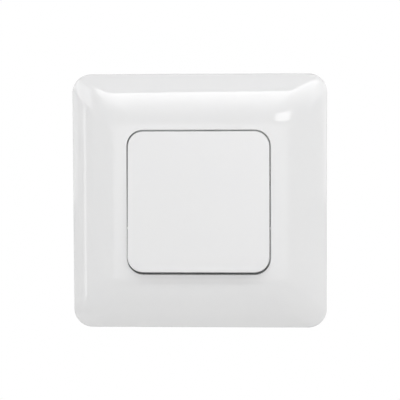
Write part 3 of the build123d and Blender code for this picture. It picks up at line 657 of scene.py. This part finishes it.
@dataclass
class RoundedShell:
    """A moulded shell that is extruded ring by ring, with true corner radii on every ring."""

    name: str
    loops: list[Loop]
    closed: bool
    corner_steps: int = 16
    piece: Piece | None = field(default=None, init=False)

    def build(self) -> Piece:
        """Extrudes the loops in order and closes the shell.

        Returns:
            The finished mesh object.
        """
        self._start(self.loops[0])
        for old, new in zip(self.loops, self.loops[1:]):
            self._extrude(old, new)
        if self.closed:
            self._join_ends()
        face_outward()
        end_edit()
        return self.piece

    def _start(self, loop: Loop) -> None:
        """Adds the first ring as a plane with rounded corners, across the Y axis.

        Args:
            loop: the ring's size and place.
        """
        clear_selection()
        place = (0.0, loop.y * MM, 0.0)
        bpy.ops.mesh.primitive_plane_add(size=1.0, location=place, rotation=(math.pi / 2, 0.0, 0.0))
        self.piece = bpy.context.object
        self.piece.name = self.name
        self.piece.scale = (loop.width * MM, loop.height * MM, 1.0)
        settle(self.piece)
        start_edit(self.piece)
        radius = loop.corner * MM
        bpy.ops.mesh.bevel(offset=radius, segments=self.corner_steps, affect="VERTICES", profile=0.5)
        bpy.ops.mesh.select_all(action="SELECT")

    def _extrude(self, old: Loop, new: Loop) -> None:
        """Extrudes the selected face into a new ring and gives each of its corners its place and radius.

        Args:
            old: the ring that is selected.
            new: the ring to make of it.
        """
        bpy.ops.mesh.extrude_region_move(TRANSFORM_OT_translate={"value": (0.0, (new.y - old.y) * MM, 0.0)})
        mesh = bmesh.from_edit_mesh(self.piece.data)
        ring = [vertex.index for vertex in mesh.verts if vertex.select]
        old_x, old_z = old.width / 2 - old.corner, old.height / 2 - old.corner
        new_x, new_z = new.width / 2 - new.corner, new.height / 2 - new.corner
        factor = new.corner / old.corner
        resized = abs(new.corner - old.corner) > SAME_MM
        moved = max(abs(new_x - old_x), abs(new_z - old_z)) > SAME_MM
        corners = [(1, 1), (1, -1), (-1, 1), (-1, -1)] if resized or moved else []
        for side_x, side_z in corners:
            self._pick(ring, lambda co: co.x * side_x > 0 and co.z * side_z > 0)
            centre = metres(old_x * side_x, new.y, old_z * side_z)
            if resized:
                bpy.ops.transform.resize(value=(factor, 1.0, factor), center_override=centre)
            if moved:
                shift = metres((new_x - old_x) * side_x, 0, (new_z - old_z) * side_z)
                bpy.ops.transform.translate(value=shift)
        self._pick(ring, lambda co: True)

    def _pick(self, ring: Sequence[int], wanted: Callable[[Vector], bool]) -> None:
        """Selects the points of the newest ring that answer to a test, and no others.

        Args:
            ring: numbers of the ring's points.
            wanted: says for a point's place whether it is picked.
        """
        mesh = bmesh.from_edit_mesh(self.piece.data)
        mesh.verts.ensure_lookup_table()
        for part in (*mesh.faces, *mesh.verts):
            part.select_set(False)
        for index in ring:
            vertex = mesh.verts[index]
            vertex.select_set(wanted(vertex.co))
        mesh.select_flush(True)
        bmesh.update_edit_mesh(self.piece.data)

    def _join_ends(self) -> None:
        """Removes the two end faces, whose rings lie on each other, and merges the rings."""
        bpy.ops.mesh.delete(type="ONLY_FACE")
        first = self.loops[0].y * MM
        count = 4 * (self.corner_steps + 1)
        pick(
            self.piece,
            Element.FACE,
            lambda face: len(face.verts) == count and abs(face.verts[0].co.y - first) < SAME_PLACE,
        )
        bpy.ops.mesh.delete(type="ONLY_FACE")
        bpy.ops.mesh.select_mode(type=Element.POINT.value)
        bpy.ops.mesh.select_all(action="SELECT")
        bpy.ops.mesh.remove_doubles(threshold=MERGE)


def pillow(start: Loop, end: Loop, edge_radius: float, edge_steps: int, swell_steps: int) -> list[Loop]:
    """Rings that turn off a side wall with a small radius and swell in one large arc.

    Args:
        start: the wide loop, where the surface runs straight off the wall.
        end: the narrow loop, where the surface lies parallel to the wall.
        edge_radius: radius of the turn between the side and the swell.
        edge_steps: number of rings on the small radius.
        swell_steps: number of rings on the large arc.

    Returns:
        The rings from start to end, both included.
    """
    across, depth = (start.width - end.width) / 2, abs(end.y - start.y)
    slope = 2 * math.atan((depth - edge_radius) / (across - edge_radius))
    radius = (across - edge_radius) / math.sin(slope) + edge_radius
    edge_angles = [math.pi / 2 + (slope - math.pi / 2) * step / edge_steps for step in range(edge_steps)]
    places = [(edge_radius * (1 - math.sin(a)), edge_radius * math.cos(a)) for a in edge_angles]
    for step in range(swell_steps + 1):
        angle = slope * (1 - step / swell_steps)
        inward = edge_radius * (1 - math.sin(slope)) + radius * (math.sin(slope) - math.sin(angle))
        forward = edge_radius * math.cos(slope) + radius * (math.cos(angle) - math.cos(slope))
        places.append((inward, forward))
    rings = []
    for inward, forward in places:
        share = inward / across
        width = start.width + (end.width - start.width) * share
        height = start.height + (end.height - start.height) * share
        corner = start.corner + (end.corner - start.corner) * share
        rings.append(Loop(width, height, corner, start.y - forward))
    return rings


def rounded_edge(sharp: Loop, radius: float, steps: int, side: int = -1) -> list[Loop]:
    """Rings of a rounded edge between a side wall and a face in front of it.

    Args:
        sharp: the loop that the wall and the face would share if the edge were sharp.
        radius: the edge's radius.
        steps: number of rings after the first.
        side: 1 where the wall is that of an opening, so that the rings grow towards the face.

    Returns:
        The rings from the wall to the face.
    """
    rings = []
    for index in range(steps + 1):
        angle = math.pi / 2 * index / steps
        inset, back = radius * (1 - math.cos(angle)), radius * (1 - math.sin(angle))
        rings.append(sharp.grown(side * inset, sharp.y + back))
    return rings


# The object's own pieces


@dataclass
class CoverFrame:
    """The glossy pillowed frame with its collar, four snap legs and two centring nubs."""

    size: float = 82.0
    corner: float = 6.1
    side: float = 2.2
    wall: float = 2.0
    opening_x: float = 45.7
    opening_z: float = 46.1
    opening_corner: float = 5.15
    land: float = 0.6
    edge: float = 0.18
    edge_steps: int = 4
    rim: float = 1.2
    relief: float = 0.4
    collar: float = 1.3
    collar_back: float = 3.6
    foot_edge: float = 0.25
    turn_radius: float = 1.5
    inner_turn_radius: float = 0.5
    nub_low: Place = (22.55, -9.2, -8.6)
    nub_high: Place = (22.95, -8.45, -7.8)
    nub_edge: float = 0.06
    leg: SnapLeg = SnapLeg(
        "frame_leg",
        low=(28.8, -8.3, 15.0), high=(30.0, -1.6, 19.0),
        cuts=((Axis.Y, -2.5), (Axis.Y, -3.7), (Axis.Z, 15.8), (Axis.Z, 18.2)),
        barb_side=(-1.0, 0.0, 0.0), barb_low=(28.0, -3.7, 15.8), barb_high=(29.5, -2.5, 18.2),
        barb_reach=0.8, taper=(1.0, 0.55, 0.9), taper_centre=(28.0, -3.5, 17.0),
    )

    def section(self) -> list[Loop]:
        """Lists the rings of the shell's section, once round.

        Returns:
            Rings from the foot on the wall over the front, through the opening and back inside.
        """
        opening = Loop(self.opening_x, self.opening_z, self.opening_corner, RIM_Y)
        foot_size, inner_size = self.size - 2 * self.foot_edge, self.size - 2 * self.wall
        foot = Loop(foot_size, foot_size, self.corner, WALL_Y)
        outer = Loop(self.size, self.size, self.corner, -self.side)
        inner = Loop(inner_size, inner_size, self.corner - self.wall, -self.side)
        roof, ledge = RIM_Y + self.wall, self.wall + self.land
        end_x, end_z = self.opening_x + 2 * ledge, self.opening_z + 2 * ledge
        inner_end = Loop(end_x, end_z, self.opening_corner + self.land, roof)
        rings = [foot, Loop(self.size, self.size, self.corner, -self.foot_edge)]
        front_end = opening.grown(self.land, RIM_Y)
        rings += pillow(outer, front_end, self.turn_radius, edge_steps=8, swell_steps=36)
        rings += reversed(rounded_edge(opening, self.edge, self.edge_steps, side=1))
        behind = self.relief + self.collar
        for extra, y in (
            (0, RIM_Y + self.rim),
            (self.relief, RIM_Y + self.rim),
            (self.relief, -self.collar_back),
            (behind, -self.collar_back),
            (behind, roof),
        ):
            rings.append(opening.grown(extra, y))
        rings += reversed(pillow(inner, inner_end, self.inner_turn_radius, edge_steps=3, swell_steps=14))
        rings += [Loop(inner_size, inner_size, self.corner - self.wall, WALL_Y), foot]
        return rings

    def build(self) -> list[Piece]:
        """Models the frame and gives it its finish.

        Returns:
            The finished piece, riding on the insert.
        """
        piece = RoundedShell("cover_frame_moulding", self.section(), closed=True).build()
        low, high = self.nub_low, self.nub_high
        nubs = [
            bevelled_block("nub", low, high, self.nub_edge, segments=1),
            bevelled_block("nub", (-high[0], *low[1:]), (-low[0], *high[1:]), self.nub_edge, segments=1),
        ]
        combine(piece, at_four_corners(self.leg.build()) + nubs, Boolean.UNION)
        shade(piece)
        coat(piece, GLOSSY_WHITE_PC)
        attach(piece, "insert")
        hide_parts("cover_frame")
        return [piece]


@dataclass
class Rocker:
    """The large satin key: a hollow tapered cap with four snap legs, tilted to its rest.

    It is wider at its back by spread_x and spread_z, and its lip is the bevel round the back.
    """

    width: float = 44.95
    tall: float = 44.6
    corner: float = 4.8
    wall: float = 1.6
    face: float = 1.8
    depth: float = 6.2
    spread_x: float = 0.1
    spread_z: float = 0.65
    lip: float = 0.15
    edge: float = 0.3
    edge_steps: int = 5
    face_above_pivot: float = 4.5
    leg: SnapLeg = SnapLeg(
        "rocker_leg",
        low=(7.0, -10.4, 17.05), high=(11.0, -7.0, 18.25),
        cuts=((Axis.Y, -7.85),),
        barb_side=(0.0, 0.0, -1.0), barb_low=(6.0, -7.85, 16.0), barb_high=(12.0, -6.0, 18.0),
        barb_reach=0.8, taper=(0.94, 0.6, 1.0), taper_centre=(9.0, -7.85, 16.25),
    )

    def section(self) -> list[Loop]:
        """Lists the rings of the cap, from its ceiling round the back edge to its face.

        Returns:
            The rings with the key level about its pivot.
        """
        front = PIVOT_Y - self.face_above_pivot
        back, ceiling = front + self.depth, front + self.face
        inner_x, inner_z = self.width - 2 * self.wall, self.tall - 2 * self.wall
        inner_back_x, inner_back_z = inner_x + self.spread_x, inner_z + self.spread_z
        inner_corner = self.corner - self.wall
        back_x, back_z = self.width + self.spread_x, self.tall + self.spread_z
        bevel = 2 * self.lip
        # Share of the spread that is left where the rounded edge of the face begins
        taper = self.edge / self.depth
        outer = Loop(
            self.width + self.spread_x * taper, self.tall + self.spread_z * taper, self.corner, front
        )
        return [
            Loop(inner_x, inner_z, inner_corner, ceiling),
            Loop(inner_back_x, inner_back_z, inner_corner, back - self.lip),
            Loop(inner_back_x + bevel, inner_back_z + bevel, inner_corner, back),
            Loop(back_x - bevel, back_z - bevel, self.corner, back),
            Loop(back_x, back_z, self.corner, back - self.lip),
        ] + rounded_edge(outer, self.edge, self.edge_steps)

    def build(self) -> list[Piece]:
        """Models the key, tilts it about its pivot and gives it its finish.

        Returns:
            The finished piece, riding on the rocker.
        """
        piece = RoundedShell("rocker_moulding", self.section(), closed=False).build()
        combine(piece, at_four_corners(self.leg.build()), Boolean.UNION)
        self._tilt(piece)
        shade(piece)
        coat(piece, SATIN_WHITE_PC)
        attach(piece, "rocker_unit")
        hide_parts("rocker")
        return [piece]

    def _tilt(self, piece: Piece) -> None:
        """Turns the level key about the rocker's pivot, so that its top edge goes in.

        Args:
            piece: the key.
        """
        bpy.context.scene.cursor.location = metres(0, PIVOT_Y, 0)
        activate(piece)
        bpy.ops.object.origin_set(type="ORIGIN_CURSOR")
        piece.rotation_euler.x = math.radians(-TILT)
        settle(piece)
        bpy.context.scene.cursor.location = (0.0, 0.0, 0.0)


@dataclass
class ClawScrews:
    """The two cross-recessed claw screws with their rolled threads, and the square nuts that run on them.

    The shaft reaches into the head by overlap, and tools that cut reach past a piece by clear.
    """

    x: float = 22.8
    z: float = 7.5
    radius: float = 1.5
    core: float = 1.2
    pitch: float = 0.5
    thread_steps: int = 24
    end: float = 20.5
    overlap: float = 0.6
    head_radius: float = 2.6
    head_front: float = -3.0
    head_back: float = -1.2
    head_edge: float = 0.6
    small_edge: float = 0.1
    round_steps: int = 64
    recess_length: float = 3.2
    recess_width: float = 0.9
    recess_depth: float = 1.0
    clear: float = 1.0
    nut_size: float = 7.0
    nut_front: float = 14.25
    nut_back: float = 17.25
    nut_bore: float = 1.55
    nut_edge: float = 0.15
    nut_corner_radius: float = 4.7
    nut_corner_bevel: float = 0.9
    nut_shade_angle: float = 20.0

    def thread(self) -> Piece:
        """Models the threaded shaft on the Y axis: one V, screwed along it and cut off square.

        Returns:
            The shaft as a closed mesh.
        """
        first = self.head_back - self.overlap
        start = first - self.pitch
        turns = math.ceil((self.end - start) / self.pitch) + 1
        depth, half = self.radius - self.core, self.pitch / 2
        clear_selection()
        # A regular triangle, whose side on the core goes, scaled to the flanks of one pitch
        bpy.ops.mesh.primitive_circle_add(
            vertices=3,
            radius=MM,
            fill_type="NOTHING",
            location=metres(self.core + depth / 3, start + half, 0),
            rotation=(0.0, 0.0, -math.pi / 2),
        )
        piece = bpy.context.object
        piece.scale = (half / math.cos(math.pi / 6), depth / 1.5, 1.0)
        settle(piece)
        start_edit(piece, Element.EDGE)
        core = self.core
        pick(piece, Element.EDGE, lambda edge: all(abs(v.co.x / MM - core) < NEAR_MM for v in edge.verts))
        bpy.ops.mesh.delete(type="EDGE")
        end_edit()
        screw = piece.modifiers.new("thread", "SCREW")
        screw.axis = "Y"
        screw.screw_offset = self.pitch * MM
        screw.iterations = turns
        screw.steps = screw.render_steps = self.thread_steps
        apply_modifiers(piece)
        start_edit(piece)
        bpy.ops.mesh.remove_doubles(threshold=2 * MERGE)
        cut_across(Axis.Y, metres(0, self.end, 0), Keep.BELOW)
        cut_across(Axis.Y, metres(0, first, 0), Keep.ABOVE)
        face_outward()
        end_edit()
        return piece

    def disc(self, name: str, radius: float, front: float, back: float) -> Piece:
        """Adds a round blank on the Y axis.

        Args:
            name: the blank's name.
            radius: its radius.
            front: where it begins along Y.
            back: where it ends.

        Returns:
            The blank, with its place in its mesh.
        """
        clear_selection()
        bpy.ops.mesh.primitive_cylinder_add(
            vertices=self.round_steps,
            radius=radius * MM,
            depth=(back - front) * MM,
            location=metres(0, (front + back) / 2, 0),
            rotation=(math.pi / 2, 0.0, 0.0),
        )
        piece = bpy.context.object
        piece.name = name
        settle(piece)
        return piece

    def _bevel_end(self, blank: Piece, y: float, width: float, steps: int) -> None:
        """Bevels the rim of a round blank at one of its ends.

        Args:
            blank: the blank.
            y: where the end lies.
            width: width of the bevel.
            steps: how many faces it has.
        """
        start_edit(blank, Element.EDGE)
        pick(blank, Element.EDGE, lambda edge: all(abs(v.co.y / MM - y) < NEAR_MM for v in edge.verts))
        bpy.ops.mesh.bevel(offset=width * MM, segments=steps, affect="EDGES")
        end_edit()

    def screw(self) -> Piece:
        """Models the right-hand screw: its pan head with the cross recess, and the shaft.

        Returns:
            The screw on the Y axis.
        """
        piece = self.disc("claw_screw_right_threaded", self.head_radius, self.head_front, self.head_back)
        self._bevel_end(piece, self.head_front, self.head_edge, 6)
        self._bevel_end(piece, self.head_back, self.small_edge, 2)
        before, floor = self.head_front - self.clear, self.head_front + self.recess_depth
        wide, narrow = self.recess_length / 2, self.recess_width / 2
        slots = [
            bevelled_block("recess", (-x, before, -z), (x, floor, z), self.small_edge)
            for x, z in ((wide, narrow), (narrow, wide))
        ]
        combine(piece, slots, Boolean.DIFFERENCE)
        combine(piece, [self.thread()], Boolean.UNION)
        return piece

    def nut(self) -> Piece:
        """Models the right-hand square nut: a sawn block with turned corners and a bore.

        Returns:
            The nut on the Y axis.
        """
        half, front, back = self.nut_size / 2, self.nut_front, self.nut_back
        piece = bevelled_block(
            "claw_nut_right_square", (-half, front, -half), (half, back, half), self.nut_edge
        )
        turned = self.disc("turned", self.nut_corner_radius, front - self.clear, back)
        self._bevel_end(turned, back, self.nut_corner_bevel, 1)
        combine(piece, [turned], Boolean.INTERSECT)
        bore = self.disc("bore", self.nut_bore, front - self.clear, back + self.clear)
        combine(piece, [bore], Boolean.DIFFERENCE)
        return piece

    def build(self) -> list[Piece]:
        """Models the right-hand pair, sets it in place, and turns a copy half round for the left.

        Returns:
            The four pieces, each riding on its own body.
        """
        pieces = []
        for piece, angle, node, finish, slot in (
            (self.screw(), SMOOTH_ANGLE, "claw_screw", ZINC_SCREW, "screw_steel"),
            (self.nut(), self.nut_shade_angle, "claw_nut", NUT_BRASS, "nut_brass"),
        ):
            piece.location = metres(self.x, 0, self.z)
            settle(piece)
            shade(piece, angle)
            coat(piece, finish)
            twin = turned_copy(piece, piece.name.replace("right", "left"), -1, -1)
            for made, side in ((piece, "right"), (twin, "left")):
                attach(made, f"{node}_{side}_body")
                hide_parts(f"{node}_{side}")
                pieces.append(made)
        return pieces


@dataclass
class Springs:
    """The springs of the mechanism: one coil and three bent strips."""

    coil_length: float = 4.0
    coil_travel: float = 1.2
    bore_top: float = 0.5
    strip: float = 0.4
    bend: float = 2.2

    def coil(self) -> Piece:
        """Makes the coil spring.

        Returns:
            The finished piece, riding on the rocker.
        """
        piece = self._dressed_copy("toggle_spring", "toggle_spring_coil")
        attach(piece, "rocker_unit")
        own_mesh(piece)
        return piece

    def clamp(self, name: str) -> Piece:
        """Makes one clamp's strip spring and cuts it across at the root, the middle and the foot of its
        blade.

        Args:
            name: common, upper or lower.

        Returns:
            The finished piece, with its place in its mesh.
        """
        node = f"clamp_spring_{name}"
        piece = self._dressed_copy(node, f"{node}_strip")
        low, high = (Vector(corner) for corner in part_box(node))
        lever_low, lever_high = (Vector(corner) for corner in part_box(f"release_lever_{name}"))
        outward = 1 if low.x > 0 else -1
        leg = (low.x if outward > 0 else high.x) + outward * self.strip * MM
        foot = lever_low.x if outward > 0 else lever_high.x
        root = leg + outward * (self.bend - self.strip) * MM
        start_edit(piece)
        for x in (root, (root + foot) / 2, foot):
            cut_across(Axis.X, Vector((x, 0.0, 0.0)))
        end_edit()
        shade(piece)
        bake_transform(piece)
        return piece

    def _dressed_copy(self, node: str, name: str) -> Piece:
        """Copies the CAD node of a spring, merges its triangles and gives it its finish.

        Args:
            node: the node that the copy stands for.
            name: the copy's name.

        Returns:
            The copy, with its own mesh.
        """
        piece = bpy.data.objects.new(name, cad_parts[node].data.copy())
        bpy.context.collection.objects.link(piece)
        start_edit(piece)
        bpy.ops.mesh.remove_doubles(threshold=MERGE)
        end_edit()
        shade(piece)
        coat(piece, SPRING_STEEL)
        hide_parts(node)
        return piece

    def build(self) -> list[Piece]:
        """Makes all four springs, and returns them."""
        return [self.coil()] + [self.clamp(name) for name in ("common", "upper", "lower")]


@dataclass
class CarriedNodes:
    """The CAD nodes whose shape is right: their finishes, and how far their sharp edges are softened."""

    looks: tuple[tuple[Finish, float, tuple[str, ...]], ...] = (
        (MATT_GREY_PC, 0.0, ("rocker_carrier",)),
        (NATURAL_ACETAL, 0.0, ("toggle_plunger",)),
        (ZINC_SHEET, 0.1, ("support_ring",)),
        (COVER_GREY_PA, 0.0, ("housing_cover",)),
        (GLASS_FILLED_PA, 0.0, ("housing_base",)),
        (COPPER_STRIP, 0.0, ("contact_bridge", "common_terminal", "upper_terminal", "lower_terminal")),
        (SILVER_RIVET, 0.0, tuple(f"{kind}_contact_{end}" for kind in ("moving", "fixed") for end in ENDS)),
        (ORANGE_PA, 0.2, ("release_lever_common", "release_lever_upper", "release_lever_lower")),
        (ZINC_SCREW, 0.12, ("claw_right", "claw_left")),
    )

    def build(self) -> list[Piece]:
        """Gives every node its material, and those with sharp visible edges their rounding.

        Returns:
            The dressed nodes.
        """
        nodes = []
        for finish, width, names in self.looks:
            material = finish.material()
            for node in (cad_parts[name] for name in names):
                for material_slot in node.material_slots:
                    material_slot.material = material
                if width:
                    self._soften(node, width)
                nodes.append(node)
        return nodes

    def _soften(self, node: Piece, width: float) -> None:
        """Rounds the sharp edges of a node, as moulding, stamping or tumbling leaves them.

        Args:
            node: the CAD node, whose mesh stays as it is under the modifiers.
            width: width of the rounded edge.
        """
        weld = node.modifiers.new("weld", "WELD")
        weld.merge_threshold = MERGE
        bevel = node.modifiers.new("edges", "BEVEL")
        bevel.width = width * MM
        bevel.segments = 2
        bevel.limit_method = "ANGLE"
        bevel.angle_limit = math.radians(SHARP_ANGLE)
        bevel.harden_normals = True


# Studio, in metres


@dataclass(frozen=True)
class SoftLamp:
    """A rectangular soft lamp that looks at the object, at an azimuth and elevation in degrees.

    The radiance is that of its upper edge, where 1 is white, and falls downwards by the power of fade.
    """

    name: str
    azimuth: float
    elevation: float
    distance: float
    width: float
    height: float
    radiance: float
    fade: float = 0.0

    def add(self) -> Piece:
        """Adds the lamp.

        Returns:
            The lamp's object.
        """
        data = bpy.data.lights.new(self.name, "AREA")
        data.shape = "RECTANGLE"
        data.size, data.size_y = self.width, self.height
        data.energy = self.radiance * self.width * self.height * math.pi
        if self.fade:
            self._fade_downwards(data)
        lamp = bpy.data.objects.new(self.name, data)
        bpy.context.collection.objects.link(lamp)
        towards = direction(self.azimuth, self.elevation)
        lamp.location = towards * self.distance
        lamp.rotation_mode = "QUATERNION"
        lamp.rotation_quaternion = towards.to_track_quat("Z", "Y")
        lamp.visible_camera = False
        return lamp

    def _fade_downwards(self, data: bpy.types.Light) -> None:
        """Dims the diffuser from its upper edge down, as when its bulb sits high behind it.

        Args:
            data: the lamp's data.
        """
        data.use_nodes = True
        tree = data.node_tree
        tree.nodes.clear()
        across = add_node(tree, "ShaderNodeNewGeometry").outputs["Parametric"]
        height = add_node(tree, "ShaderNodeSeparateXYZ", links={"Vector": across}).outputs["Y"]
        strength = add_node(tree, "ShaderNodeMath", {"operation": "POWER", 1: self.fade}, {0: height})
        light = add_node(tree, "ShaderNodeEmission", links={"Strength": strength.outputs[0]})
        add_node(tree, "ShaderNodeOutputLight", links={"Surface": light.outputs["Emission"]})


@dataclass
class Studio:
    """Plain pale floor, soft lamps, a white background and the camera at the photograph's angle."""

    floor_centre: Place = (0.0, -0.09, -0.16)
    floor_size: Place = (1.6, 1.02, 1.0)
    floor_cuts: int = 3
    ambient: float = 0.33
    camera_distance: float = 0.430
    camera_azimuth: float = 2.7
    camera_elevation: float = 3.4
    camera_roll: float = -0.2
    lens: float = 120.3
    sensor: float = 36.0
    sight: tuple[float, float] = (0.01, 20.0)
    target: Place = (0.0002, -0.004, 0.00047)
    lamps: tuple[SoftLamp, ...] = (
        SoftLamp("key_softbox", 10.0, 36.0, 0.48, 0.66, 0.33, radiance=4.35, fade=1.7),
        SoftLamp("front_panel", 0.0, -4.0, 1.2, 1.0, 0.45, radiance=1.0),
        SoftLamp("left_panel", -95.0, 15.0, 0.9, 0.5, 0.6, radiance=1.0),
        SoftLamp("right_panel", 95.0, 15.0, 0.9, 0.6, 0.6, radiance=1.2),
        SoftLamp("left_front", -60.0, 25.0, 1.0, 0.5, 0.5, radiance=1.4),
        SoftLamp("right_front", 62.0, 25.0, 1.0, 0.5, 0.5, radiance=1.35),
        SoftLamp("floor_bounce", 0.0, -80.0, 0.14, 0.4, 0.1, radiance=0.35),
        SoftLamp("window", 15.5, 14.6, 0.6, 0.13, 0.085, radiance=3.2),
        SoftLamp("left_strip", -67.5, -4.0, 0.7, 0.045, 1.3, radiance=1.9),
    )

    def set_world(self) -> None:
        """Makes the world white for the camera and for reflections, and a soft fill for the rest."""
        world = bpy.data.worlds.new("studio_world")
        bpy.context.scene.world = world
        world.use_nodes = True
        tree = world.node_tree
        tree.nodes.clear()
        rays = add_node(tree, "ShaderNodeLightPath").outputs
        seen = rays["Is Camera Ray"]
        for kind in ("Is Glossy Ray", "Is Transmission Ray"):
            either = add_node(tree, "ShaderNodeMath", {"operation": "MAXIMUM"}, {0: seen, 1: rays[kind]})
            seen = either.outputs[0]
        span = {"To Min": self.ambient, "To Max": 1.0}
        strength = add_node(tree, "ShaderNodeMapRange", span, {"Value": seen}).outputs["Result"]
        white = {"Color": (1.0, 1.0, 1.0, 1.0)}
        light = add_node(tree, "ShaderNodeBackground", white, {"Strength": strength})
        add_node(tree, "ShaderNodeOutputWorld", links={"Surface": light.outputs["Background"]})

    def add_floor(self) -> Piece:
        """Adds the plain pale floor, below what the camera sees.

        Returns:
            The floor.
        """
        clear_selection()
        bpy.ops.mesh.primitive_plane_add(size=1.0, location=self.floor_centre)
        floor = bpy.context.object
        floor.name = "studio_floor"
        floor.scale = self.floor_size
        settle(floor)
        start_edit(floor, Element.FACE)
        bpy.ops.mesh.subdivide(number_cuts=self.floor_cuts)
        end_edit()
        coat(floor, PALE_PAPER)
        return floor

    def add_camera(self) -> Piece:
        """Adds the camera where the photograph was taken from.

        Returns:
            The camera's object.
        """
        data = bpy.data.cameras.new("photo_camera")
        data.lens = self.lens
        data.sensor_width = self.sensor
        data.clip_start, data.clip_end = self.sight
        camera = bpy.data.objects.new("photo_camera", data)
        bpy.context.collection.objects.link(camera)
        back = direction(self.camera_azimuth, self.camera_elevation)
        camera.location = Vector(self.target) + back * self.camera_distance
        camera.rotation_euler = (-back).to_track_quat("-Z", "Y").to_euler()
        camera.rotation_euler.rotate_axis("Z", math.radians(self.camera_roll))
        bpy.context.scene.camera = camera
        return camera

    def build(self) -> list[Piece]:
        """Sets up the whole studio.

        Returns:
            The camera, the floor and the lamps.
        """
        bpy.context.scene.view_settings.view_transform = "Standard"
        self.set_world()
        return [self.add_camera(), self.add_floor()] + [lamp.add() for lamp in self.lamps]


def main() -> None:
    """Builds every piece in order, then the studio, and reports each."""
    logging.basicConfig(level=logging.INFO, format="%(name)s: %(message)s")
    for part in (CoverFrame(), Rocker(), Springs(), ClawScrews(), CarriedNodes(), Studio()):
        for piece in part.build():
            LOG.info("%s has %s", type(part).__name__, piece.name)
    bpy.context.view_layer.update()


if __name__ == "__main__":
    main()
